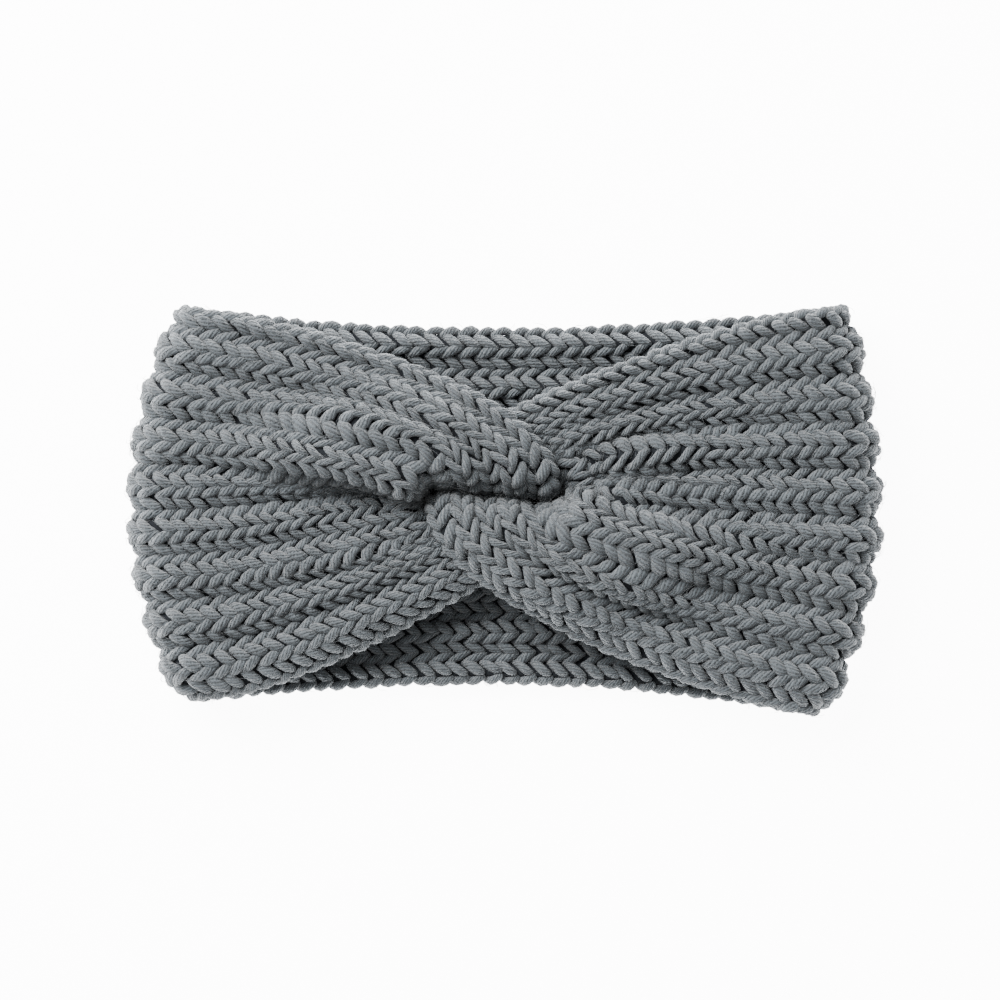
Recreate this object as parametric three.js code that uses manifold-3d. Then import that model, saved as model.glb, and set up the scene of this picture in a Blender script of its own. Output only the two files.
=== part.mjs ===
// Twist ear warmer headband, lying on its back with the twist facing up. Millimetres, +Z up.
// It is one knitted strip. Each end is folded lengthwise into a U, the two Us are hooked into
// each other, and one hidden seam sews the four layers together, which makes the twist.
// Each half has an over strand, which crosses on top, and an under strand, which the other
// half's over strand covers.
import * as THREE from "three";
import { mergeVertices } from "three/addons/utils/BufferGeometryUtils.js";
import Module from "manifold-3d";

// The band
const FLAT_LENGTH = 225; // across the band as it lies, from fold to fold
const BAND_WIDTH = 120; // the strip's width
const WALL = 5.6; // thickness of the knit
const HEAD_GAP = 8.5; // clear height of the hollow that the head goes through

// The ribs, which run round the band
const RIB_PITCH = 13.9; // from groove to groove where the strip has its full width
const RIB_DEPTH = 1.4; // from a rib's crest to its groove
const FIRST_GROOVE = 5.8; // from the strip's upper edge to its first groove
const EDGE_CLEAR = 0.5; // from an edge of the strip to the nearest line of points inside it

// The twist
const SEAM_HALF = 17.5; // half the length of the seam
const SEAM_TILT = 6.5; // degrees that the seam's line is turned from the band's own
const LAYER_GAP = 0.8; // between two layers that lie on each other
const UNDER_ROLL = 5; // radius at which an under strand turns down into the seam
const OVER_HOLD = 21; // how far from its roll an over strand still lies on the layer below
const OVER_SLOPE = 42; // how far it then takes to come down to the level of the front
const SEAM_DEPTH = 2; // height of the seam that joins the ends
const SEAM_BORDER = 0.5; // how far the seam stands out past the layers
const SEAM_BELOW = 0.25; // the share of the seam's height that lies below the layers' ends
const FOLD_ONSET = 26; // how far from the roll the soft folds have their full height

// How fine the surface is made
const BACK_STEPS = 6;
const FOLD_STEPS = 8;
const FRONT_STEPS = 15;
const ROLL_STEPS = 6;
const SEAM_BEND_STEPS = 8;
const STEP_NUDGE = 0.05; // part of a step along the strip over which its direction is taken
const ACROSS_NUDGE = 0.005; // the same for places across the strip
const MERGE_TOLERANCE = 1e-4; // millimetres within which two points are one

// The two halves. Reach is a share of half the flat length, measured from the middle of the
// seam, and bow is how much of it each corner falls short. Edge is how far the corners and
// the back's edges lie from the seam's line, as a share of half the band's width.
const HALVES = [
  { side: -1, reach: 0.969, overBow: 0.124, underBow: 0.133, overEdge: 0.915, underEdge: 1.007 },
  { side: 1, reach: 1.031, overBow: 0.142, underBow: 0.08, overEdge: 1.063, underEdge: 0.923 },
];
const BACK = { upperEdge: 0.83, lowerEdge: 0.935 };

// Places across the strip run from 1 at the edge of the over strand, by 0 at the fold of the
// U, to -1 at the edge of the under strand.
const BEND_SHARE = 0.36; // the part of each half of the strip that goes round the bend of the U
const BEND_EASE = 0.2; // how gently the spacing changes there
const LEAN = 34; // degrees that the ribs lean away from square to the seam at their roll
const LEAN_FROM = 0.15; // the place across where they start to lean
const LEAN_TO = 0.8; // the place across from which they lean in full

// Where the roll starts to widen from an under strand's radius to an over strand's: a share of
// half the bend of the U, which has its full width at 1.
const WIDEN_FROM = -0.4;

// How the front runs between the round end and the roll: how strongly it keeps the way it has
// at each of the two, as a share of its reach.
const END_PULL = 0.85;
const ROLL_PULL = 0.45;
const NEAR_TOP = 0.99; // a share of the roll just below its top, which gives the way there

// The profile of one rib, from a groove to the next: the share of the pitch and the rise,
// which is 1 on the crest and -1 in the groove.
const RIB_PROFILE = [
  { share: 0, rise: -1 },
  { share: 0.22, rise: 1 },
  { share: 0.5, rise: 1 },
  { share: 0.78, rise: 1 },
];

// Where the ribs' wave fades out near the twist, as shares of the front's length, and the
// places across between which an under strand turns into an over strand.
const UNDER_FADE = { from: 0.45, to: 0.75 };
const OVER_FADE = { from: 0.6, to: 1.15 };
const OVER_PLACE = { from: 0.1, to: 0.4 };

// Soft folds in the front. From and reach are shares of half the flat length, from the roll
// outwards, width is a share of half the strip, and rise is a share of the wall.
const FOLDS = [
  { side: -1, across: -0.04, width: 0.15, from: 0.16, reach: 0.45, rise: -0.35 },
  { side: 1, across: 0.08, width: 0.12, from: 0.2, reach: 0.36, rise: -0.2 },
  { side: 1, across: -0.1, width: 0.1, from: 0.22, reach: 0.4, rise: 0.3 },
  { side: 1, across: -0.4, width: 0.15, from: 0.3, reach: 0.5, rise: 0.2 },
];
const FOLD_FALL = 4; // how steeply a fold falls off along its reach
const FOLD_START = 0.3; // the share of the front by which the folds have set in

// Worked out from the sizes above
const WAVE = RIB_DEPTH / 2;
const PITCH = WALL + LAYER_GAP;
const HALF_LENGTH = FLAT_LENGTH / 2;
const HALF_WIDTH = BAND_WIDTH / 2;
const BACK_LEVEL = WALL / 2 + WAVE;
const FRONT_LEVEL = 2 * (WALL + RIB_DEPTH) - BACK_LEVEL + HEAD_GAP;
const FOLD_RADIUS = (FRONT_LEVEL - BACK_LEVEL) / 2;
const SEAM_LEVEL = FRONT_LEVEL - UNDER_ROLL;
const OVER_ROLL = UNDER_ROLL + PITCH;
const QUARTER_TURN = (PITCH * Math.PI) / 2;
const UP = new THREE.Vector3(0, 0, 1);
const TILT = -THREE.MathUtils.degToRad(SEAM_TILT);

const mix = THREE.MathUtils.lerp;
const smooth = THREE.MathUtils.smoothstep;

// The line in which a half ends at the seam: a leg for the over strand, the bend of the U
// round the other half's edge, and a leg for the under strand. Along is measured from the
// middle of the bend, towards the over strand.
function hairpin(along) {
  const turn = (THREE.MathUtils.clamp(along / QUARTER_TURN, -1, 1) * Math.PI) / 2;
  const leg = Math.max(0, Math.abs(along) - QUARTER_TURN);
  const outward = new THREE.Vector3(-Math.cos(turn), Math.sin(turn), 0);
  const point = outward.clone().multiplyScalar(PITCH);
  point.x += leg - SEAM_HALF;
  point.y -= PITCH / 2;
  return { point: point.applyAxisAngle(UP, TILT), outward: outward.applyAxisAngle(UP, TILT) };
}

// Where on its hairpin a place across the strip ends.
function endAlong(across) {
  const inBend = QUARTER_TURN / BEND_SHARE;
  const onLeg = (2 * SEAM_HALF) / (1 - BEND_SHARE);
  const past = Math.abs(across) - BEND_SHARE;
  const eased = Math.max(0, past + BEND_EASE) ** 2 / (4 * BEND_EASE);
  const leg = past > BEND_EASE ? past : eased;
  return Math.sign(across) * (inBend * Math.abs(across) + (onLeg - inBend) * leg);
}

// The radius at which the strip turns down into the seam, by its place across the strip.
function rollRadius(across) {
  return mix(UNDER_ROLL, OVER_ROLL, smooth(endAlong(across), WIDEN_FROM * QUARTER_TURN, QUARTER_TURN));
}

// The middle of the wall where it rolls down into the seam: share 1 is the top of the roll,
// and share 0 is the end at the seam.
function roll(across, share) {
  const radius = rollRadius(across);
  const arc = (radius * Math.PI) / 2;
  const lean = THREE.MathUtils.degToRad(LEAN) * smooth(Math.abs(across), LEAN_FROM, LEAN_TO);
  const shift = (Math.sign(across) * Math.tan(lean) * arc * share * share) / 2;
  const { point, outward } = hairpin(endAlong(across) - shift);
  const turn = (share * Math.PI) / 2;
  point.addScaledVector(outward, radius * (1 - Math.cos(turn)));
  point.z = SEAM_LEVEL + radius * Math.sin(turn);
  return point;
}

// Where the front of a half meets its round end: the place, and the way the ribs run there.
function corner(half, across) {
  const [bow, edge] = across > 0 ? [half.overBow, half.overEdge] : [half.underBow, half.underEdge];
  const middle = (half.overEdge - half.underEdge) / 2;
  const end = (half.reach - bow * across * across) * HALF_LENGTH - WALL / 2 - WAVE;
  const x = FOLD_RADIUS - end;
  const y = mix(middle, across > 0 ? edge : -edge, Math.abs(across)) * HALF_WIDTH;
  const backEdges = half.side < 0 ? [BACK.lowerEdge, BACK.upperEdge] : [BACK.upperEdge, BACK.lowerEdge];
  const backY = mix(-backEdges[0], backEdges[1], (across + 1) / 2) * HALF_WIDTH;
  const slope = (2 * (y - backY)) / x;
  return { x, y, backY, slope };
}

// How far the soft folds lift the front, at a distance from the top of the roll.
function foldLift(half, across, away) {
  let lift = 0;
  for (const fold of FOLDS.filter((row) => row.side === half.side)) {
    const sideways = (across - fold.across) / fold.width;
    const out = (away / HALF_LENGTH - fold.from) / fold.reach;
    lift += fold.rise * WALL * Math.exp(-sideways * sideways) * Math.exp(-FOLD_FALL * out * out);
  }
  return lift;
}

// The middle of the wall on the front: share 0 is at the round end, 1 at the top of the roll.
function front(half, across, share) {
  const from = corner(half, across);
  const top = roll(across, 1);
  const start = new THREE.Vector3(from.x, from.y, FRONT_LEVEL);
  const reach = start.distanceTo(top);
  const startWay = new THREE.Vector3(1, from.slope, 0).setLength(END_PULL * reach);
  const topWay = top.clone().sub(roll(across, NEAR_TOP)).setZ(0).setLength(-ROLL_PULL * reach);
  const s = share;
  const point = start.clone().multiplyScalar(1 - s * s * (3 - 2 * s));
  point.addScaledVector(top, s * s * (3 - 2 * s));
  point.addScaledVector(startWay, s * (1 - s) * (1 - s));
  point.addScaledVector(topWay, -s * s * (1 - s));
  const away = (1 - s) * reach;
  const held = 1 - smooth(away, OVER_HOLD, OVER_HOLD + OVER_SLOPE);
  const onset = smooth(s, 0, FOLD_START);
  const settle = smooth(away, 0, FOLD_ONSET);
  point.z = mix(FRONT_LEVEL, top.z, held) + foldLift(half, across, away) * onset * settle;
  return point;
}

// The middle of the wall at the round end, from the back at share 0 to the front at 1.
function roundEnd(half, across, share) {
  const { x, y, slope } = corner(half, across);
  const turn = share * Math.PI;
  const out = FOLD_RADIUS * Math.sin(turn);
  const z = FRONT_LEVEL - FOLD_RADIUS * (1 + Math.cos(turn));
  return new THREE.Vector3(x - out, y - out * slope, z);
}

// The middle of the wall on the back, from the middle of the band to the round end.
function back(half, across, share) {
  const { x, y, backY } = corner(half, across);
  return new THREE.Vector3(x * share, mix(backY, y, share * share), BACK_LEVEL);
}

// One half's stretches, from the middle of the back to the seam.
const STRETCHES = [
  { steps: BACK_STEPS, place: back },
  { steps: FOLD_STEPS, place: roundEnd },
  { steps: FRONT_STEPS, place: front },
  { steps: ROLL_STEPS, place: (half, across, share) => roll(across, 1 - share) },
];

// The middle of the wall at a number of steps from the middle of the back.
function middle(half, across, steps) {
  let left = steps;
  for (const stretch of STRETCHES) {
    if (left <= stretch.steps || stretch === STRETCHES.at(-1)) {
      return stretch.place(half, across, left / stretch.steps);
    }
    left -= stretch.steps;
  }
}
const HALF_STEPS = STRETCHES.reduce((sum, stretch) => sum + stretch.steps, 0);

// The places across the strip where the surface has points: each groove, and the start,
// middle and end of each crest. Rise is 1 on a crest and -1 in a groove.
function ribPoints() {
  const points = [];
  const last = Math.floor((BAND_WIDTH - FIRST_GROOVE) / RIB_PITCH);
  for (let rib = -1; rib <= last; rib++) {
    for (const { share, rise } of RIB_PROFILE) {
      points.push({ down: FIRST_GROOVE + (rib + share) * RIB_PITCH, rise });
    }
  }
  const inside = points.filter(({ down }) => down > EDGE_CLEAR && down < BAND_WIDTH - EDGE_CLEAR);
  const edges = [{ down: 0, rise: 1 }, ...inside, { down: BAND_WIDTH, rise: -1 }];
  return edges.map(({ down, rise }) => ({ upward: 1 - down / HALF_WIDTH, rise }));
}

// How much of the rib's wave the wall's two faces keep. It is smoothed out where layers
// lie on each other in the twist.
function waveKept(across, steps) {
  const frontShare = (steps - BACK_STEPS - FOLD_STEPS) / FRONT_STEPS;
  const nearTwist = smooth(frontShare, UNDER_FADE.from, UNDER_FADE.to);
  const inRoll = smooth(frontShare, OVER_FADE.from, OVER_FADE.to);
  const isOver = smooth(across, OVER_PLACE.from, OVER_PLACE.to);
  return { outer: 1 - mix(nearTwist, inRoll, isOver), inner: 1 - nearTwist };
}

// The two faces of the wall along the whole strip, from the left end of the seam round the
// back to the right end: for each station a row of outer and a row of inner points.
function faces() {
  const across = ribPoints();
  const stations = [];
  for (let at = -HALF_STEPS; at <= HALF_STEPS; at++) {
    const half = HALVES[at < 0 ? 0 : 1];
    const turned = half.side < 0 ? 1 : -1;
    const steps = Math.abs(at);
    const station = { outer: [], inner: [] };
    for (const { upward, rise } of across) {
      const place = upward * turned;
      const point = middle(half, place, steps);
      const before = middle(half, place, Math.max(0, steps - STEP_NUDGE));
      const after = middle(half, place, Math.min(HALF_STEPS, steps + STEP_NUDGE));
      const up = middle(half, Math.min(1, place + ACROSS_NUDGE), steps);
      const down = middle(half, Math.max(-1, place - ACROSS_NUDGE), steps);
      const normal = after.sub(before).cross(up.sub(down)).normalize();
      const kept = waveKept(place, steps);
      for (const [face, sign] of [["outer", 1], ["inner", -1]]) {
        const offset = (sign * WALL) / 2 + rise * WAVE * kept[face];
        const spot = point.clone().addScaledVector(normal, offset);
        station[face].push([spot.x * turned, spot.y * turned, spot.z]);
      }
    }
    stations.push(station);
  }
  return stations;
}

// The strip's wall as one closed mesh.
function stripGeometry() {
  const stations = faces();
  const count = stations[0].outer.length;
  const positions = stations.flatMap(({ outer, inner }) => [...outer, ...inner]).flat();
  const index = [];
  const id = (station, ring) => station * 2 * count + (ring % (2 * count));
  const quad = (a, b, c, d) => index.push(a, c, b, a, d, c);
  // Round the section the points run along the outer face and back along the inner one.
  const ring = [...Array(count).keys()].concat([...Array(count).keys()].map((k) => 2 * count - 1 - k));
  for (let s = 0; s + 1 < stations.length; s++) {
    for (let k = 0; k < ring.length; k++) {
      const [here, next] = [ring[k], ring[(k + 1) % ring.length]];
      quad(id(s, here), id(s, next), id(s + 1, next), id(s + 1, here));
    }
  }
  for (let k = 0; k + 1 < count; k++) {
    quad(id(0, k + 1), id(0, k), id(0, count + k), id(0, count + k + 1));
    const end = stations.length - 1;
    quad(id(end, k), id(end, k + 1), id(end, count + k + 1), id(end, count + k));
  }
  const geometry = new THREE.BufferGeometry();
  geometry.setAttribute("position", new THREE.Float32BufferAttribute(positions, 3));
  geometry.setIndex(index);
  return geometry;
}

// The seam, which follows the outline of the four layers that it joins.
function seamGeometry() {
  const bend = PITCH + WALL / 2 + SEAM_BORDER;
  const side = 1.5 * PITCH + WALL / 2 + SEAM_BORDER;
  const end = SEAM_HALF + SEAM_BORDER;
  const outline = new THREE.Shape();
  outline.moveTo(SEAM_HALF, side);
  outline.lineTo(-end, side);
  outline.lineTo(-end, bend - PITCH / 2);
  outline.lineTo(-SEAM_HALF, bend - PITCH / 2);
  outline.absarc(-SEAM_HALF, -PITCH / 2, bend, Math.PI / 2, (3 * Math.PI) / 2, false);
  outline.lineTo(end, -side);
  outline.lineTo(end, PITCH / 2 - bend);
  outline.lineTo(SEAM_HALF, PITCH / 2 - bend);
  outline.absarc(SEAM_HALF, PITCH / 2, bend, -Math.PI / 2, Math.PI / 2, false);
  const options = { depth: SEAM_DEPTH, bevelEnabled: false, curveSegments: SEAM_BEND_STEPS };
  const seam = new THREE.ExtrudeGeometry(outline, options);
  return seam.translate(0, 0, SEAM_LEVEL - SEAM_DEPTH * SEAM_BELOW).rotateZ(TILT);
}

const wasm = await Module();
wasm.setup();

// A closed geometry as a solid that can be joined.
function solid(geometry) {
  const bare = geometry.clone();
  bare.deleteAttribute("normal");
  bare.deleteAttribute("uv");
  const merged = mergeVertices(bare, MERGE_TOLERANCE);
  return new wasm.Manifold(
    new wasm.Mesh({
      numProp: 3,
      vertProperties: new Float32Array(merged.attributes.position.array),
      triVerts: new Uint32Array(merged.index.array),
    }),
  );
}

// A joined solid as a geometry again.
function geometryOf(body) {
  const mesh = body.getMesh();
  const geometry = new THREE.BufferGeometry();
  geometry.setAttribute("position", new THREE.BufferAttribute(mesh.vertProperties, 3));
  geometry.setIndex(new THREE.BufferAttribute(mesh.triVerts, 1));
  return geometry;
}

// The band as one body, with the origin under the middle of its box.
const bandGeometry = geometryOf(solid(stripGeometry()).add(solid(seamGeometry())));
bandGeometry.computeBoundingBox();
const box = bandGeometry.boundingBox;
bandGeometry.translate(-(box.min.x + box.max.x) / 2, -(box.min.y + box.max.y) / 2, -box.min.z);
bandGeometry.computeVertexNormals();

const wool = new THREE.MeshStandardMaterial({ color: 0x6f777c, roughness: 0.95, metalness: 0 });
const band = new THREE.Mesh(bandGeometry, wool);
band.name = "knit_band";

const headband = new THREE.Group();
headband.add(band);

export default headband;
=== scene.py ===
# Twist ear warmer headband in chunky slate wool: the knit, stitch by stitch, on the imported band.
import math
from collections import namedtuple

import bpy
import numpy as np
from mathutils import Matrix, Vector


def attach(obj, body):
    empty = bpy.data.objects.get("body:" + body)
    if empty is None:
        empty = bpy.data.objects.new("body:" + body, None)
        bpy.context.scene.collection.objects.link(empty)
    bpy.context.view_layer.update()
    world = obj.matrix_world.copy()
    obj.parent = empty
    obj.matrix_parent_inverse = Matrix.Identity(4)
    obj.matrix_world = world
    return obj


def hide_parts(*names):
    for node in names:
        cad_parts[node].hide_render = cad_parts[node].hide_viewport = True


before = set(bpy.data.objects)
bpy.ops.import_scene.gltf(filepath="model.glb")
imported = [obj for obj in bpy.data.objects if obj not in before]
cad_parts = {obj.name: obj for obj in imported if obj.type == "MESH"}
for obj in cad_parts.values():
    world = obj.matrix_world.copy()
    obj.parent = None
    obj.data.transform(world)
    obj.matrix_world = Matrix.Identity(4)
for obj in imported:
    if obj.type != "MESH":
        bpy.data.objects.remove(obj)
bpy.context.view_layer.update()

# Sizes are in millimetres, as the knit is planned, and MM turns them into metres.
MM = 0.001

# The band, as the solid has it
FLAT_LENGTH = 225  # across the band as it lies, from fold to fold
BAND_WIDTH = 120  # the strip's width
WALL = 5.6  # thickness of the knit
HEAD_GAP = 8.5  # clear height of the hollow that the head goes through
RIB_PITCH = 13.9  # from groove to groove where the strip has its full width
RIB_DEPTH = 1.4  # from a rib's crest to its groove in the solid
FIRST_GROOVE = 5.8  # from the strip's upper edge to its first groove
SEAM_HALF = 17.5  # half the length of the seam in the twist
SEAM_TILT = 6.5  # degrees that the seam's line is turned from the band's own
LAYER_GAP = 0.8  # between two layers that lie on each other
UNDER_ROLL = 5  # radius at which an under strand turns down into the seam
OVER_HOLD = 21  # how far from its roll an over strand still lies on the layer below
OVER_SLOPE = 42  # how far it then takes to come down to the level of the front

# The two halves, with their reach, bow and edges as shares of the band's half length and width
LEFT = {"side": -1, "reach": 0.969, "over": (0.124, 0.925), "under": (0.133, 1.017)}
RIGHT = {"side": 1, "reach": 1.031, "over": (0.142, 1.08), "under": (0.08, 0.93)}
BACK_UPPER, BACK_LOWER = 0.83, 0.935  # from the band's middle to the back's edges, likewise
UNDER_CROWDING = 1.7  # how much closer an under strand's ribs lie at the bend than at the edge
BEND_SHARE = 0.42  # the part of an over strand's width that is gathered in the bend of its U
BEND_EASE = 0.2  # how gently the spacing changes there
IN_BEND = 6  # millimetres of the bend that a whole half strip would take at that spacing
TIP = 2  # how far an over strand's tip runs on past the end of the seam

# Degrees from the seam's line at which the ribs come to the roll: at the bend of the U, along an
# over strand, at its edge, and along an under strand. Each of the last three is followed by the
# places across a half strip between which it takes over from the one before it.
BEND_WAY = 14
OVER_WAY, OVER_WAY_FROM, OVER_WAY_TO = 33, 0, 0.7
EDGE_WAY, EDGE_WAY_FROM, EDGE_WAY_TO = 64, 0.6, 1.05
UNDER_WAY, UNDER_WAY_FROM, UNDER_WAY_TO = 38, 0, 0.5
LEAN_FULL = 0.1  # the place across from which they lean in full
LEAN_FADE = 3  # how soon they turn square to the seam further down

# How strongly the ribs keep their way, as shares of their length: at the round end, at the roll of
# an under strand, of an over strand, and at an under strand's edge
END_PULL, UNDER_PULL, OVER_PULL, EDGE_PULL = 0.85, 0.7, 0.6, 0.5
EDGE_PULL_FROM = 0.5  # the place across from which an under strand's edge counts
PULL_BLEND = 0.1  # half the width across in which under and over blend
BELOW_TOP = 0.99  # a share of the roll just below its top, from which the way there is read

# The rolls
ROLL_WIDTH = 0.75  # width of a roll, as a share of its height
ROLL_GROWS_FROM = -0.4  # where its radius starts to grow, in quarter turns of the bend
CREASE = (0.13, 0.25)  # places across a half strip between which an over strand rises
PLUMP = 4.5  # how far the middle of an over strand stands up above its edges
PLUMP_FADE = (0.45, 1)  # places across between which it comes down to them

# How much of the ribs' wave is lost near the twist, between which shares of the front and beyond,
# for an under and an over strand, and the places across between which the one becomes the other
UNDER_CALM, UNDER_CALM_AT = 0.8, (0.5, 0.9)
OVER_CALM, OVER_CALM_AT = 0.6, (0.8, 1.3)
CALM_BLEND = (0.1, 0.4)

# Soft folds in the front, with the half's side and the place across. The start and the reach are
# shares of half the flat length, the rise is a share of the wall, and the onset is how far from
# the roll, in millimetres, a fold has set in.
Fold = namedtuple("Fold", "side across width start reach rise onset")
FOLDS = [
    Fold(-1, 0.02, 0.12, 0.14, 0.5, -0.7, 26),
    Fold(-1, 0.0, 0.12, 0.03, 0.26, -0.8, 6),
    Fold(1, 0.13, 0.05, 0.1, 0.35, -0.5, 8),
    Fold(1, 0.02, 0.09, 0.06, 0.3, 1.2, 10),
    Fold(1, -0.2, 0.12, 0.0, 0.15, -1.5, 3),
    Fold(1, -0.3, 0.08, 0.16, 0.3, 0.7, 26),
    Fold(1, -0.42, 0.06, 0.12, 0.4, -0.8, 26),
]
FOLD_FALL = 4  # how soon a fold dies out within its reach
FOLD_SETTLE = 0.3  # the share of the front, from the round end, over which folds come in

# The yarn and its stitches
YARN = {-1: 1.75, 1: 1.56}  # radius of a leg at its middle, by the side to which it slants
STITCH = 4.8  # length of one row of stitches along the band
ROWS_IN_RIB = 4  # rows of legs across one rib
LEG = {-1: 6.5, 1: 6.9}  # length of a leg
SLANT = {-1: 33, 1: 23}  # degrees that a leg leans from the band's length
LEG_LEVEL = 1.75  # from the middle of the wall to the middle of a leg
PROUD = 0.45  # how far a leg's middle stands out from that level
DIP = 0.95  # how far its ends sink under the neighbours
CORE_LEVEL = 0.95  # half the thickness of the core behind the stitches, whose dark colour is painted shade in the gaps between them
EDGE_IN = 2.7  # from the strip's edge to where its faces turn into the rim
RIB_RISE = 1.4  # how far a crest stands out from the middle of the wave
GROOVE = 0.2  # half width of a groove, as a share of the rib's pitch
LEG_TAPER = 0.82  # how much a leg thins towards its ends
LEG_CURVE = 0.4  # how much more it slants at its middle than at its ends
SQUEEZE = (0.66, 1.3)  # least and most that a leg's width follows the spacing of the rows
SQUEEZE_HEIGHT = 0.6  # how little of that its height follows
TUBE_TIP = 0.55  # length of a tube's rounded tip, as a share of its mean radius
REST = 1.8  # height above the surface below which the yarn is flattened

# How unevenly it is knitted, as standard deviations
ALONG_SPREAD = 0.28  # of a leg's place along the band
ACROSS_SPREAD = 0.16  # of its place across the rows
LEVEL_SPREAD = 0.12  # of its height on the wall
SIZE_SPREAD = 0.07  # of the logarithm of its radius
SLANT_SPREAD = 0.07  # of its slant, in radians
TONE_MEAN, TONE_SPREAD = 0.5, 0.2  # of how light its yarn is, from 0 to 1

# Loose fibres
FIBRE = 0.07  # radius
FIBRE_REACH = (1.5, 5)  # how far one runs along the wool
FIBRE_RISE = (0.4, 1.8)  # how far it stands out
FIBRE_ROOT = 1.5  # from the middle of a leg to where it comes out
FIBRE_CURL = 0.9  # radians that it turns on its way, as a standard deviation
FIBRE_TAPER = 0.5  # how much it thins towards its end
FIBRE_HIGHLIGHT = 1.2  # how light it is, above any leg's tone: painted highlight where the fibres catch the light

# Worked out from the sizes above
WAVE = RIB_DEPTH / 2  # from the middle of the ribs' wave to a crest
PITCH = WALL + LAYER_GAP  # from layer to layer
HALF_LENGTH = FLAT_LENGTH / 2
HALF_WIDTH = BAND_WIDTH / 2
BACK_LEVEL = WALL / 2 + WAVE
FRONT_LEVEL = 2 * (WALL + RIB_DEPTH) - BACK_LEVEL + HEAD_GAP
FOLD_RADIUS = (FRONT_LEVEL - BACK_LEVEL) / 2
SEAM_LEVEL = FRONT_LEVEL - UNDER_ROLL
OVER_ROLL = UNDER_ROLL + PITCH
QUARTER_TURN = PITCH * math.pi / 2
TILT = -math.radians(SEAM_TILT)
FACE = BAND_WIDTH - 2 * EDGE_IN  # the way across one face of the strip
RIM = math.pi * LEG_LEVEL  # the way round one of its rims

rng = np.random.default_rng(20)


def mix(a, b, share):
    return a + (b - a) * share


def smooth(x, low, high):
    share = np.clip((x - low) / (high - low), 0, 1)
    return share * share * (3 - 2 * share)


def vectors(x, y, z):
    return np.stack(np.broadcast_arrays(x, y, z), axis=-1).astype(float)


def length(v):
    return np.linalg.norm(v, axis=-1, keepdims=True)


def unit(v):
    return v / np.maximum(length(v), 1e-9)


def tilted(v):
    x, y, z = v[..., 0], v[..., 1], v[..., 2]
    c, s = math.cos(TILT), math.sin(TILT)
    return vectors(x * c - y * s, x * s + y * c, z)


# The line in which a half ends at the seam, in the half's own frame: a U round the other half's.
def hairpin(along):
    turn = np.clip(along / QUARTER_TURN, -1, 1) * math.pi / 2
    leg = np.maximum(0, np.abs(along) - QUARTER_TURN)
    outward = vectors(-np.cos(turn), np.sin(turn), 0)
    point = outward * PITCH + vectors(leg - SEAM_HALF, -PITCH / 2, 0)
    return tilted(point), tilted(outward)


# Where along its hairpin a place across the strip starts to turn down.
def top_along(across):
    leg_end = QUARTER_TURN + 2 * SEAM_HALF
    under = -leg_end * np.abs(across) ** UNDER_CROWDING
    past = across - BEND_SHARE
    eased = np.where(past > BEND_EASE, past, np.maximum(0, past + BEND_EASE) ** 2 / (4 * BEND_EASE))
    edge_lean = ROLL_WIDTH * OVER_ROLL * math.pi / 2 / LEAN_FADE / math.tan(math.radians(EDGE_WAY))
    over_end = leg_end + TIP - edge_lean
    over = IN_BEND * across + (over_end - IN_BEND) * eased / (1 - BEND_SHARE)
    return np.where(across > 0, over, under)


def roll_radius(across):
    grown = smooth(top_along(across), ROLL_GROWS_FROM * QUARTER_TURN, QUARTER_TURN)
    return mix(UNDER_ROLL, OVER_ROLL, grown)


# How far a rib moves on along the seam while it turns down.
def lean_shift(across, radius):
    over_way = mix(BEND_WAY, OVER_WAY, smooth(across, OVER_WAY_FROM, OVER_WAY_TO))
    over_way = mix(over_way, EDGE_WAY, smooth(across, EDGE_WAY_FROM, EDGE_WAY_TO))
    under_way = mix(BEND_WAY, UNDER_WAY, smooth(-across, UNDER_WAY_FROM, UNDER_WAY_TO))
    bend = np.clip(np.abs(top_along(across)) / QUARTER_TURN, 0, 1) * 90
    lean = bend - np.where(across > 0, over_way, under_way)
    lean = lean * smooth(np.abs(across), 0, LEAN_FULL)
    lean = np.sign(across) * np.tan(np.radians(lean))
    return lean * ROLL_WIDTH * radius * math.pi / 2 / LEAN_FADE


# The middle of the wall where it rolls down into the seam, which it meets at share 0.
def roll(across, share):
    radius = roll_radius(across)
    shift = lean_shift(across, radius) * (1 - share**LEAN_FADE)
    point, outward = hairpin(top_along(across) + shift)
    turn = share * math.pi / 2
    rise = OVER_ROLL - UNDER_ROLL + PLUMP * (1 - smooth(across, *PLUMP_FADE))
    height = UNDER_ROLL + rise * smooth(across, *CREASE)
    point = point + outward * (ROLL_WIDTH * radius * (1 - np.cos(turn)))[..., None]
    point[..., 2] = SEAM_LEVEL + height * np.sin(turn)
    return point


# Where the front of a half meets its round end, how far up the same rib lies in the middle of
# the back, and the slope of the ribs at the round end.
def corner(half, across):
    bow = np.where(across > 0, half["over"][0], half["under"][0])
    edge = np.where(across > 0, half["over"][1], -half["under"][1])
    middle = (half["over"][1] - half["under"][1]) / 2
    x = FOLD_RADIUS + WALL / 2 + WAVE - (half["reach"] - bow * across**2) * HALF_LENGTH
    y = mix(middle, edge, np.abs(across)) * HALF_WIDTH
    near, far = (BACK_LOWER, BACK_UPPER) if half["side"] < 0 else (BACK_UPPER, BACK_LOWER)
    back_y = mix(-near, far, (across + 1) / 2) * HALF_WIDTH
    return x, y, back_y, 2 * (y - back_y) / x


# How far the folds lift the front at a place across and at a distance away from the roll.
def fold_lift(half, across, away):
    lift = 0
    for fold in FOLDS:
        if fold.side == half["side"]:
            out = (away / HALF_LENGTH - fold.start) / fold.reach
            sideways = (across - fold.across) / fold.width
            form = np.exp(-(sideways**2) - FOLD_FALL * out**2) * smooth(away, 0, fold.onset)
            lift = lift + fold.rise * WALL * form
    return lift


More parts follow.
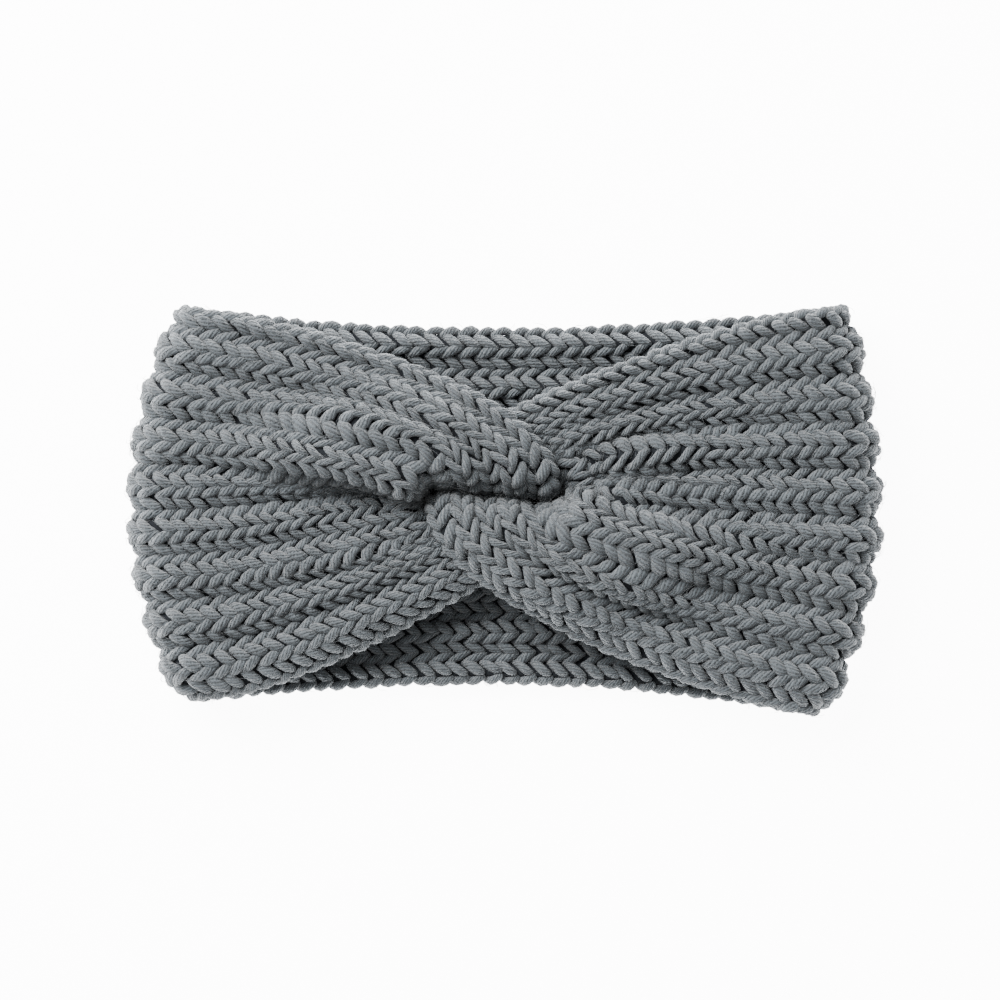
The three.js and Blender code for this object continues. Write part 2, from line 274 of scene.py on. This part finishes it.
# The middle of the wall on the front: share 0 is at the round end, 1 at the top of the roll.
def front(half, across, share):
    x, y, _, slope = corner(half, across)
    start = vectors(x, y, FRONT_LEVEL)
    top = roll(across, 1.0)
    reach = length(start - top)
    start_way = unit(vectors(1, slope, 0)) * END_PULL * reach
    top_way = top - roll(across, BELOW_TOP)
    top_way[..., 2] = 0
    pull = mix(UNDER_PULL, EDGE_PULL, smooth(-across, EDGE_PULL_FROM, 1))
    pull = mix(pull, OVER_PULL, smooth(across, -PULL_BLEND, PULL_BLEND))[..., None]
    top_way = unit(top_way) * pull * reach
    s = share[..., None]
    point = start * (1 - s * s * (3 - 2 * s)) + top * s * s * (3 - 2 * s)
    point = point + start_way * s * (1 - s) ** 2 + top_way * s * s * (1 - s)
    away = (1 - share) * reach[..., 0]
    held = 1 - smooth(away, OVER_HOLD, OVER_HOLD + OVER_SLOPE)
    settle = smooth(share, 0, FOLD_SETTLE)
    point[..., 2] = mix(FRONT_LEVEL, top[..., 2], held) + fold_lift(half, across, away) * settle
    return point


# The middle of the wall at the round end, from the back at share 0 to the front at 1.
def round_end(half, across, share):
    x, y, _, slope = corner(half, across)
    out = FOLD_RADIUS * np.sin(share * math.pi)
    down = FOLD_RADIUS * (1 + np.cos(share * math.pi))
    return vectors(x - out, y - out * slope, FRONT_LEVEL - down)


# The middle of the wall on the back, from the middle of the band to the round end.
def back(half, across, share):
    x, y, back_y, _ = corner(half, across)
    return vectors(x * share, mix(back_y, y, share**2), BACK_LEVEL)


# How much of the ribs' wave the wall keeps, which fades where layers lie on each other.
def wave_kept(across, front_share):
    under = UNDER_CALM * smooth(front_share, *UNDER_CALM_AT)
    over = OVER_CALM * smooth(front_share, *OVER_CALM_AT)
    return 1 - mix(under, over, smooth(across, *CALM_BLEND))


# The stretches of a half from the middle of the back to the seam, each with its steps and with
# the front shares at its two ends, which say how much of the wave it keeps.
Stretch = namedtuple("Stretch", "place steps low high")
STRETCHES = [
    Stretch(back, 60, 0, 0),
    Stretch(round_end, 40, 0, 0),
    Stretch(front, 140, 0, 1),
    Stretch(roll, 50, 1, 1.4),
]
ALONG_SAMPLES, DOWN_SAMPLES = 1201, 241
DOWN = np.linspace(0, BAND_WIDTH, DOWN_SAMPLES)


# The middle surface of one half on a grid, with the share of the wave in a fourth column.
def half_grid(half):
    turned = 1 if half["side"] < 0 else -1
    across = ((1 - DOWN / HALF_WIDTH) * turned)[None, :]
    rows = []
    for stretch in STRETCHES:
        share = np.linspace(0, 1, stretch.steps + 1)[1 if rows else 0 :, None] + 0 * across
        if stretch.place is roll:
            points = roll(across + 0 * share, 1 - share)
        else:
            points = stretch.place(half, across + 0 * share, share)
        kept = wave_kept(across, mix(stretch.low, stretch.high, share))
        points = points * (turned, turned, 1)
        rows.append(np.concatenate([points, kept[..., None]], axis=-1))
    return np.concatenate(rows)


# The same for the whole strip, with even steps along each rib, and the length of each rib.
def strip_grid():
    whole = np.concatenate([half_grid(LEFT)[::-1], half_grid(RIGHT)[1:]])
    steps = np.linalg.norm(np.diff(whole[..., :3], axis=0), axis=-1)
    run = np.concatenate([np.zeros((1, len(DOWN))), np.cumsum(steps, axis=0)])
    share = np.linspace(0, 1, ALONG_SAMPLES)
    even = np.empty((ALONG_SAMPLES, len(DOWN), 4))
    for k in range(len(DOWN)):
        for axis in range(4):
            even[:, k, axis] = np.interp(share * run[-1, k], run[:, k], whole[:, k, axis])
    return even, run[-1]


# A wale is one line of stitches along the strip.
GRID, WALE_LENGTH = strip_grid()
MEAN_LENGTH = float(WALE_LENGTH.mean())
ALONG_WAY = unit(np.gradient(GRID[..., :3], axis=0))
DOWN_STEP = np.gradient(GRID[..., :3], DOWN, axis=1)
DOWN_WAY = unit(DOWN_STEP)
OUTWARD = unit(np.cross(ALONG_WAY, DOWN_WAY))
AHEAD = (DOWN_STEP * ALONG_WAY).sum(axis=-1, keepdims=True)
SPREAD = length(DOWN_STEP - AHEAD * ALONG_WAY)


# The solid's box is centred on the frame's origin, so its middle gives the shift to the frame.
def shift_to_frame():
    half_wall = (WALL / 2 + WAVE * GRID[..., 3:]) * OUTWARD
    faces = [GRID[..., :3] + half_wall, GRID[..., :3] - half_wall]
    points = np.concatenate([face.reshape(-1, 3) for face in faces])
    shift = -(points.min(axis=0) + points.max(axis=0)) / 2
    shift[2] = 0
    return shift


SHIFT = shift_to_frame()


# The height of the ribs' wave: 1 on a crest and -1 in a groove.
def rib_wave(down):
    rho = (down - FIRST_GROOVE) / RIB_PITCH
    gap = np.abs(rho - np.round(rho))
    return 1 - 2 * np.exp(-((gap / GROOVE) ** 2))


# What sample gives: three columns each for the place on the ribs' wave, the way out of the wall
# and the way down the strip, and one each for how far apart and how far ahead the next wale is.
RIBS = (rib_wave(DOWN)[None, :] * RIB_RISE * GRID[..., 3])[..., None]
FIELD = np.concatenate(
    [GRID[..., :3] + OUTWARD * RIBS + SHIFT, OUTWARD, DOWN_WAY, SPREAD, AHEAD], axis=-1
)


def sample(share, down):
    u = np.clip(share, 0, 1) * (FIELD.shape[0] - 1)
    v = np.clip(down / BAND_WIDTH, 0, 1) * (FIELD.shape[1] - 1)
    i = np.minimum(u.astype(int), FIELD.shape[0] - 2)
    j = np.minimum(v.astype(int), FIELD.shape[1] - 2)
    fu, fv = (u - i)[..., None], (v - j)[..., None]
    low = FIELD[i, j] * (1 - fv) + FIELD[i, j + 1] * fv
    high = FIELD[i + 1, j] * (1 - fv) + FIELD[i + 1, j + 1] * fv
    return low * (1 - fu) + high * fu


# A place round the strip's flat section: around runs down the outer face, round the lower rim,
# up the inner face and round the upper rim. Level is the distance from the middle of the wall.
# It also gives the way out of the wall, and how far apart and how far ahead the next wale is.
def place(share, around, level):
    around = np.mod(around, 2 * (FACE + RIM))
    inner = around >= FACE + RIM
    local = np.where(inner, around - FACE - RIM, around)
    on_face = np.minimum(local, FACE)
    down = np.where(inner, BAND_WIDTH - EDGE_IN - on_face, EDGE_IN + on_face)
    angle = ((np.maximum(local, FACE) - FACE) / RIM + inner) * math.pi
    at = sample(share, down)
    turn = np.where(inner, -1, 1) * (local <= FACE)
    away = at[..., 3:6] * np.cos(angle)[..., None] + at[..., 6:9] * np.sin(angle)[..., None]
    return at[..., :3] + away * np.asarray(level)[..., None], away, at[..., 9], at[..., 10] * turn


def around_of(down, inner=False):
    return 2 * FACE + RIM - (down - EDGE_IN) if inner else down - EDGE_IN


# An object from its points and its faces, which come in arrays with equal corners in each.
def make_object(name, points, faces, corners_uv=None, tone_and_highlight=None):
    mesh = bpy.data.meshes.new(name)
    mesh.vertices.add(len(points))
    mesh.vertices.foreach_set("co", (points * MM).astype(np.float32).ravel())
    sizes = np.concatenate([np.full(len(f), f.shape[1]) for f in faces])
    loops = np.concatenate([f.ravel() for f in faces])
    mesh.loops.add(len(loops))
    mesh.loops.foreach_set("vertex_index", loops.astype(np.int32))
    mesh.polygons.add(len(sizes))
    starts = np.concatenate([[0], np.cumsum(sizes)[:-1]])
    mesh.polygons.foreach_set("loop_start", starts.astype(np.int32))
    mesh.update(calc_edges=True)
    mesh.polygons.foreach_set("use_smooth", np.ones(len(sizes), bool))
    if corners_uv is not None:
        layer = mesh.uv_layers.new(name="yarn")
        layer.uv.foreach_set("vector", corners_uv.astype(np.float32).ravel())
    if tone_and_highlight is not None:
        attribute = mesh.attributes.new("tone_and_highlight", "FLOAT", "POINT")
        attribute.data.foreach_set("value", tone_and_highlight.astype(np.float32))
    mesh.validate()
    piece = bpy.data.objects.new(name, mesh)
    bpy.context.scene.collection.objects.link(piece)
    return piece


# Tubes with rounded tips from centre points, their outward ways and two radii for each ring.
def tubes(centres, outward, wide, tall, sides):
    count, rings = centres.shape[:2]
    along = unit(np.gradient(centres, axis=1))
    side = unit(np.cross(along, outward))
    top = np.cross(side, along)
    angle = np.arange(sides) * 2 * math.pi / sides
    ring = side[:, :, None] * (np.cos(angle)[None, None] * wide[..., None])[..., None]
    ring = ring + top[:, :, None] * (np.sin(angle)[None, None] * tall[..., None])[..., None]
    body = (centres[:, :, None] + ring).reshape(count, rings * sides, 3)
    reach = TUBE_TIP * (wide + tall)[..., None] / 2
    tips = np.stack(
        [centres[:, 0] - along[:, 0] * reach[:, 0], centres[:, -1] + along[:, -1] * reach[:, -1]],
        axis=1,
    )
    return np.concatenate([body, tips], axis=1)


# Their faces: the quads of the body, then the triangles of both tips.
def tube_faces(count, rings, sides):
    r, k = np.meshgrid(np.arange(rings - 1), np.arange(sides), indexing="ij")
    after = (k + 1) % sides
    quads = np.stack(
        [r * sides + k, r * sides + after, (r + 1) * sides + after, (r + 1) * sides + k], axis=-1
    ).reshape(-1, 4)
    k = np.arange(sides)
    after = (k + 1) % sides
    first, last = rings * sides, rings * sides + 1
    end = (rings - 1) * sides
    tris = np.concatenate(
        [
            np.stack([np.full(sides, first), after, k], axis=-1),
            np.stack([np.full(sides, last), end + k, end + after], axis=-1),
        ]
    )
    block = rings * sides + 2
    base = (np.arange(count) * block)[:, None, None]
    return (base + quads).reshape(-1, 4), (base + tris).reshape(-1, 3)


# The texture's places for those faces' corners: round the tube, and along it from a given start.
def tube_uv(count, rings, sides, start):
    along_step = 1 / (rings - 1)
    r, k = np.meshgrid(np.arange(rings - 1), np.arange(sides), indexing="ij")
    u = np.stack([k, k + 1, k + 1, k], axis=-1) / sides
    v = np.stack([r, r, r + 1, r + 1], axis=-1) * along_step
    quad = np.stack([u, v], axis=-1).reshape(-1, 4, 2)
    k = np.arange(sides)
    u_first = np.stack([k + 0.5, k + 1, k], axis=-1) / sides
    v_first = np.tile([-0.5 * along_step, 0, 0], (sides, 1))
    u_last = np.stack([k + 0.5, k, k + 1], axis=-1) / sides
    v_last = np.tile([1 + 0.5 * along_step, 1, 1], (sides, 1))
    first = np.stack([u_first, v_first], axis=-1)
    last = np.stack([u_last, v_last], axis=-1)
    tri = np.concatenate([first, last])
    shift = np.stack([np.zeros(count), start], axis=-1)[:, None, None]
    return np.concatenate([(part[None] + shift).reshape(-1, 2) for part in (quad, tri)])


# The rows of legs: each has its place round the section and the side to which it slants. Row 0 is
# the first one below the first groove.
FIRST_ROW = -1
LAST_ROW = int((BAND_WIDTH - EDGE_IN - FIRST_GROOVE) * ROWS_IN_RIB / RIB_PITCH - 0.5)
ROW_GAP = RIB_PITCH / ROWS_IN_RIB


def face_rows(inner):
    rows = []
    for row in range(FIRST_ROW, LAST_ROW + 1):
        down = FIRST_GROOVE + (row + 0.5) * ROW_GAP
        rows.append((around_of(down, inner), -1 if row % 2 else 1))
    return rows


RIM_ROWS = [(FACE + RIM / 2, 1), (2 * FACE + 1.5 * RIM, 1)]
COURSES = round(MEAN_LENGTH / STITCH)


# The yarn where it rests on the surface, flattened so that none of it sinks in.
def rested(points):
    low = np.minimum(points[..., 2], REST) - REST
    points[..., 2] = np.maximum(points[..., 2], REST) + REST * (np.exp(low / REST) - 1)
    return points


# The legs of the stitches in some rows and between two shares of the band's length.
def stitches(name, rows, low, high, sides, rings):
    courses = (np.arange(COURSES) + 0.5) / COURSES
    courses = courses[(courses > low) & (courses <= high)]
    share, around = np.meshgrid(courses, [r[0] for r in rows], indexing="ij")
    sign = np.meshgrid(courses, [r[1] for r in rows], indexing="ij")[1].ravel()
    share, around = share.ravel(), around.ravel()
    count = len(share)
    share = share + rng.normal(0, ALONG_SPREAD, count) / MEAN_LENGTH
    around = around + rng.normal(0, ACROSS_SPREAD, count)
    size = np.exp(rng.normal(0, SIZE_SPREAD, count))
    yarn, leg, lean = (np.where(sign < 0, fact[-1], fact[1]) for fact in (YARN, LEG, SLANT))
    slant = np.radians(lean) + rng.normal(0, SLANT_SPREAD, count)
    t = np.sin(np.linspace(-math.pi / 2, math.pi / 2, rings))[None, :]
    forward = (leg / 2 * np.cos(slant))[:, None] * t
    curved = (1 + LEG_CURVE) * t - LEG_CURVE * t**3
    sideways = (sign * leg / 2 * np.sin(slant))[:, None] * curved
    ahead = place(share, around, 0)[3]
    forward = forward - ahead[:, None] * sideways
    uneven = rng.normal(0, LEVEL_SPREAD, count)[:, None]
    level = LEG_LEVEL + PROUD - (PROUD + DIP) * t**2 + uneven
    centres, outward, spread, _ = place(
        share[:, None] + forward / MEAN_LENGTH, around[:, None] + sideways, level
    )
    radius = (yarn * size)[:, None] * np.sqrt(1 - (LEG_TAPER * t) ** 2)
    squeeze = np.clip(spread, *SQUEEZE)
    height = radius * mix(squeeze, 1, SQUEEZE_HEIGHT)
    points = rested(tubes(centres, outward, radius * squeeze, height, sides))
    uv = tube_uv(count, rings, sides, rng.random(count))
    tone_and_highlight = np.clip(rng.normal(TONE_MEAN, TONE_SPREAD, count), 0, 1)
    tone_and_highlight = np.repeat(tone_and_highlight, rings * sides + 2)
    return make_object(name, points.reshape(-1, 3), tube_faces(count, rings, sides), uv, tone_and_highlight)


# Fine loose fibres that stand out of the wool, between two shares of the band's length and two
# places round its section. They are made lighter than the legs, a painted highlight.
def fuzz(name, count, low, high, around_low, around_high, sides, rings):
    share = rng.uniform(low, high, (count, 1))
    around = rng.uniform(around_low, around_high, (count, 1))
    way = rng.uniform(0, 2 * math.pi, (count, 1))
    t = np.linspace(0, 1, rings)[None, :]
    turned = way + rng.normal(0, FIBRE_CURL, (count, 1)) * t
    reach = rng.uniform(*FIBRE_REACH, (count, 1)) * t
    rise = rng.uniform(*FIBRE_RISE, (count, 1)) * t * (2 - t)
    centres, outward, _, _ = place(
        share + reach * np.cos(turned) / MEAN_LENGTH,
        around + reach * np.sin(turned),
        LEG_LEVEL + FIBRE_ROOT + rise,
    )
    radius = FIBRE * (1 - FIBRE_TAPER * t) * np.ones((count, 1))
    points = rested(tubes(centres, outward, radius, radius, sides))
    uv = tube_uv(count, rings, sides, rng.random(count))
    # painted highlight: the fibres' tone is lighter than any leg's, for the light they catch
    tone_and_highlight = np.full(count * (rings * sides + 2), FIBRE_HIGHLIGHT)
    return make_object(name, points.reshape(-1, 3), tube_faces(count, rings, sides), uv, tone_and_highlight)


# The core that the stitches sit on, coloured dark as painted shade in the gaps between them: one
# closed sheet. Each of its ends is closed with a row of quads between the two faces, and with one
# more face at each rim.
def core(name, along=300, across=64, turn=5, end=0.001):
    face = np.linspace(0, FACE, across)
    bend = FACE + RIM * np.linspace(0, 1, turn + 2)[1:-1]
    section = np.concatenate([face, bend, FACE + RIM + face, FACE + RIM + bend])
    share = np.linspace(end, 1 - end, along)
    s, w = np.meshgrid(share, section, indexing="ij")
    points = place(s, w, np.full(s.shape, CORE_LEVEL))[0].reshape(-1, 3)
    ring = len(section)
    i, k = np.meshgrid(np.arange(along - 1), np.arange(ring), indexing="ij")
    after = (k + 1) % ring
    here, further = i * ring, (i + 1) * ring
    sides = np.stack([here + k, further + k, further + after, here + after], axis=-1)
    k = np.arange(across - 1)
    far = 2 * across + turn - 1 - k
    cap = np.stack([k, k + 1, far - 1, far], axis=-1)
    rims = []
    for start, stop in ((across - 1, across + turn), (2 * across + turn - 1, ring)):
        rims.append(np.arange(start, stop + 1) % ring)
    ends = [cap, cap[:, ::-1] + (along - 1) * ring]
    ends += [np.array([rim]) for rim in rims]
    ends += [np.array([rim[::-1]]) + (along - 1) * ring for rim in rims]
    return make_object(name, points, [sides.reshape(-1, 4), *ends])


# A picture's colour, from 0 to 255, as the shader takes it.
def linear(red, green, blue):
    return [((c / 255 + 0.055) / 1.055) ** 2.4 for c in (red, green, blue)] + [1]


# The wool
DARK_WOOL, LIGHT_WOOL = linear(43, 47, 50), linear(91, 98, 103)
WOOL_ROUGHNESS = 0.92
WOOL_SHEEN, SHEEN_ROUGHNESS = 0.25, 0.6
WOOL_SPECULAR = 0.2
PLIES = 8  # round a leg of yarn
PLY_TURNS = -0.95  # how often they wind round it from end to end
STRAY = 0.9  # how far a ply strays, as a share of its width
NAP_SCALE = 1800  # of the fine nap, in cells for each metre
PLY_FIBRE_SCALE = 1.6  # of the fibres in a ply
PLY_FIBRES_ACROSS, PLY_FIBRES_ALONG = 2.2, 2.5  # how much finer they are across and along it
WOOL_DETAIL = 4  # octaves of both noises
# What makes a place light or dark: the plies, whose grooves are darker as painted shade, their
# fibres, the nap, the leg's own tone or a loose fibre's painted highlight, and what is taken off
# their sum
PLY_PAINTED_SHADE, FIBRE_SHADE, NAP_SHADE, TONE_SHADE, SHADE_OFF = 0.55, 0.3, 0.5, 0.25, 0.26
BUMP_DEPTH = 0.36
FIBRE_BUMP, NAP_BUMP = 1.5, 1.6  # height of the fibres and the nap, as shares of the plies'

# The plain materials
# painted shade: the core is darker than the wool, standing in for the shade between the stitches
CORE_PAINTED_SHADE = linear(27, 29, 32)
CORE_ROUGHNESS = 1.0
PALE_FLOOR = linear(225, 225, 225)
FLOOR_ROUGHNESS = 0.9
GRAIN_SCALE = 1200
GRAIN_DETAIL = 2
GRAIN_LIGHT = 1.25  # how much lighter the grain is at its lightest
PLAIN_SPECULAR = 0.1


def node(tree, kind, **values):
    made = tree.nodes.new(kind)
    for key, value in values.items():
        setattr(made, key, value)
    return made


def maths(tree, operation, *inputs):
    made = node(tree, "ShaderNodeMath", operation=operation)
    for socket, value in zip(made.inputs, inputs):
        if isinstance(value, (int, float)):
            socket.default_value = value
        else:
            tree.links.new(value, socket)
    return made.outputs[0]


# A noise texture that reads its places from a socket, and gives a number for each place.
def noise(tree, at, scale, detail):
    made = node(tree, "ShaderNodeTexNoise")
    made.inputs["Scale"].default_value = scale
    made.inputs["Detail"].default_value = detail
    tree.links.new(at, made.inputs["Vector"])
    return made.outputs["Fac"]


# A material with its node tree and its shader.
def matt(name, roughness, specular):
    material = bpy.data.materials.new(name)
    material.use_nodes = True
    tree = material.node_tree
    shader = tree.nodes["Principled BSDF"]
    shader.inputs["Roughness"].default_value = roughness
    shader.inputs["Specular IOR Level"].default_value = specular
    return material, tree, shader


# A base colour that a socket's value mixes from two.
def colour_from(tree, shader, value, dark, light):
    blend = node(tree, "ShaderNodeMix", data_type="RGBA")
    tree.links.new(value, blend.inputs["Factor"])
    blend.inputs["A"].default_value = dark
    blend.inputs["B"].default_value = light
    tree.links.new(blend.outputs["Result"], shader.inputs["Base Color"])


# Plied yarn: the plies wind along each tube, with fibres along them and a fine nap over all. Its
# colour is darker in the grooves between the plies, painted shade, and the loose fibres' tone gives
# them a painted highlight.
def wool(name, dark, light):
    material, tree, shader = matt(name, WOOL_ROUGHNESS, WOOL_SPECULAR)
    shader.inputs["Sheen Weight"].default_value = WOOL_SHEEN
    shader.inputs["Sheen Roughness"].default_value = SHEEN_ROUGHNESS
    split = node(tree, "ShaderNodeSeparateXYZ")
    tree.links.new(node(tree, "ShaderNodeUVMap", uv_map="yarn").outputs[0], split.inputs[0])
    at = node(tree, "ShaderNodeTexCoord").outputs["Object"]
    nap = noise(tree, at, NAP_SCALE, WOOL_DETAIL)
    twist = maths(tree, "MULTIPLY", split.outputs["Y"], PLY_TURNS * PLIES)
    around = maths(tree, "MULTIPLY", split.outputs["X"], PLIES)
    phase = maths(tree, "ADD", around, twist)
    phase = maths(tree, "ADD", phase, maths(tree, "MULTIPLY", nap, STRAY))
    wave = maths(tree, "SINE", maths(tree, "MULTIPLY", phase, 2 * math.pi))
    ply = maths(tree, "MULTIPLY_ADD", wave, 0.5, 0.5)
    fibre_at = node(tree, "ShaderNodeCombineXYZ")
    tree.links.new(maths(tree, "MULTIPLY", phase, PLY_FIBRES_ACROSS), fibre_at.inputs["X"])
    along = maths(tree, "MULTIPLY", split.outputs["Y"], PLY_FIBRES_ALONG)
    tree.links.new(along, fibre_at.inputs["Y"])
    fibres = noise(tree, fibre_at.outputs[0], PLY_FIBRE_SCALE, WOOL_DETAIL)
    # this attribute holds each leg's own tone and the loose fibres' painted highlight
    tone_and_highlight = node(tree, "ShaderNodeAttribute", attribute_name="tone_and_highlight").outputs["Fac"]
    # painted shade: the ply wave makes the colour darker in the grooves between the plies
    value = maths(tree, "MULTIPLY", ply, PLY_PAINTED_SHADE)
    value = maths(tree, "MULTIPLY_ADD", fibres, FIBRE_SHADE, value)
    value = maths(tree, "MULTIPLY_ADD", nap, NAP_SHADE, value)
    value = maths(tree, "ADD", value, -SHADE_OFF)
    value = maths(tree, "MULTIPLY_ADD", tone_and_highlight, TONE_SHADE, value)
    colour_from(tree, shader, value, dark, light)
    bump = node(tree, "ShaderNodeBump")
    bump.inputs["Strength"].default_value = 1
    bump.inputs["Distance"].default_value = BUMP_DEPTH * MM
    height = maths(tree, "MULTIPLY_ADD", nap, NAP_BUMP, ply)
    height = maths(tree, "MULTIPLY_ADD", fibres, FIBRE_BUMP, height)
    tree.links.new(height, bump.inputs["Height"])
    tree.links.new(bump.outputs["Normal"], shader.inputs["Normal"])
    return material


# One colour with a faint grain.
def plain(name, colour, roughness):
    material, tree, shader = matt(name, roughness, PLAIN_SPECULAR)
    at = node(tree, "ShaderNodeTexCoord").outputs["Object"]
    grain = noise(tree, at, GRAIN_SCALE, GRAIN_DETAIL)
    light = [c * GRAIN_LIGHT for c in colour[:3]] + [1]
    colour_from(tree, shader, grain, colour, light)
    return material


YARN_MATERIAL = wool("slate_wool", DARK_WOOL, LIGHT_WOOL)
# the core's material is painted shade, seen through the gaps between the stitches
CORE_PAINTED_SHADE_MATERIAL = plain("wool_core_painted_shade", CORE_PAINTED_SHADE, CORE_ROUGHNESS)

# How finely each tube is made, as its sides and rings
FINE = (10, 9)  # where the camera looks
INSIDE = (8, 7)  # the inner face of the back, seen past the front
UNDER = (6, 7)  # the side that the band lies on
HIDDEN = (6, 5)  # the inner face of the front
HAIR = (3, 4)  # the loose fibres

# The pieces. Each half's front and round end take up this share of the strip's length.
FRONT_END = 0.255
BACK_END = 1 - FRONT_END
FRONT_FIBRES, BACK_FIBRES = 2600, 2400  # for each half of the front, and for the back
OUTER, INNER = face_rows(False), face_rows(True)
parts = [
    stitches("knit_front_left", OUTER, 0, FRONT_END, *FINE),
    stitches("knit_front_right", OUTER, BACK_END, 1, *FINE),
    stitches("knit_back_outside", OUTER, FRONT_END, BACK_END, *UNDER),
    stitches("knit_back_inside", INNER, FRONT_END, BACK_END, *INSIDE),
    stitches("knit_lining_left", INNER, 0, FRONT_END, *HIDDEN),
    stitches("knit_lining_right", INNER, BACK_END, 1, *HIDDEN),
    stitches("knit_rims", RIM_ROWS, 0, 1, *FINE),
    fuzz("knit_fuzz_front_left", FRONT_FIBRES, 0, FRONT_END, -RIM, FACE + RIM, *HAIR),
    fuzz("knit_fuzz_front_right", FRONT_FIBRES, BACK_END, 1, -RIM, FACE + RIM, *HAIR),
    fuzz("knit_fuzz_back", BACK_FIBRES, FRONT_END, BACK_END, 0, 2 * (FACE + RIM), *HAIR),
]
band_core = core("knit_core")
for part in parts:
    part.data.materials.append(YARN_MATERIAL)
band_core.data.materials.append(CORE_PAINTED_SHADE_MATERIAL)
for piece in [*parts, band_core]:
    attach(piece, "root")
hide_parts("knit_band")

# The floor, which glows as a light table does
FLOOR_REACH = 1.5  # metres from its middle to its edges
FLOOR_GLOW = 11
corners = [(x * FLOOR_REACH, y * FLOOR_REACH, 0) for x, y in ((-1, -1), (1, -1), (1, 1), (-1, 1))]
floor_mesh = bpy.data.meshes.new("floor")
floor_mesh.from_pydata(corners, [], [(0, 1, 2, 3)])
floor = bpy.data.objects.new("floor", floor_mesh)
bpy.context.scene.collection.objects.link(floor)
floor.data.materials.append(plain("pale_floor", PALE_FLOOR, FLOOR_ROUGHNESS))
shine = floor.data.materials[0].node_tree.nodes["Principled BSDF"]
shine.inputs["Emission Color"].default_value = (1, 1, 1, 1)
shine.inputs["Emission Strength"].default_value = FLOOR_GLOW

# The light: an even white room and one softbox at the upper left, in watts and metres
ROOM_LIGHT = 0.76
SOFTBOX_POWER = 66
SOFTBOX_SIZE = 0.9
SOFTBOX_PLACE = Vector((-0.7, 0.75, 0.95))
LIGHT_TARGET = Vector((0, 0, 0.01))
world = bpy.data.worlds.new("studio")
world.use_nodes = True
world.node_tree.nodes["Background"].inputs["Color"].default_value = (1, 1, 1, 1)
world.node_tree.nodes["Background"].inputs["Strength"].default_value = ROOM_LIGHT
bpy.context.scene.world = world
softbox_data = bpy.data.lights.new("softbox", "AREA")
softbox_data.energy = SOFTBOX_POWER
softbox_data.size = SOFTBOX_SIZE
softbox = bpy.data.objects.new("softbox", softbox_data)
softbox.location = SOFTBOX_PLACE
aim = (LIGHT_TARGET - SOFTBOX_PLACE).to_track_quat("-Z", "Y")
softbox.rotation_euler = aim.to_euler()
bpy.context.scene.collection.objects.link(softbox)

# The camera looks straight down.
VIEW_WIDTH = 300  # millimetres of the picture at the level of the band
VIEW_HEIGHT = 1500  # from the band to the camera
VIEW_CENTRE = Vector((-1.4, 3.6, 14))
SENSOR = 36
camera_data = bpy.data.cameras.new("camera")
camera_data.sensor_width = SENSOR
camera_data.lens = SENSOR * VIEW_HEIGHT / VIEW_WIDTH
camera = bpy.data.objects.new("camera", camera_data)
camera.location = (VIEW_CENTRE + Vector((0, 0, VIEW_HEIGHT))) * MM
bpy.context.scene.collection.objects.link(camera)
bpy.context.scene.camera = camera
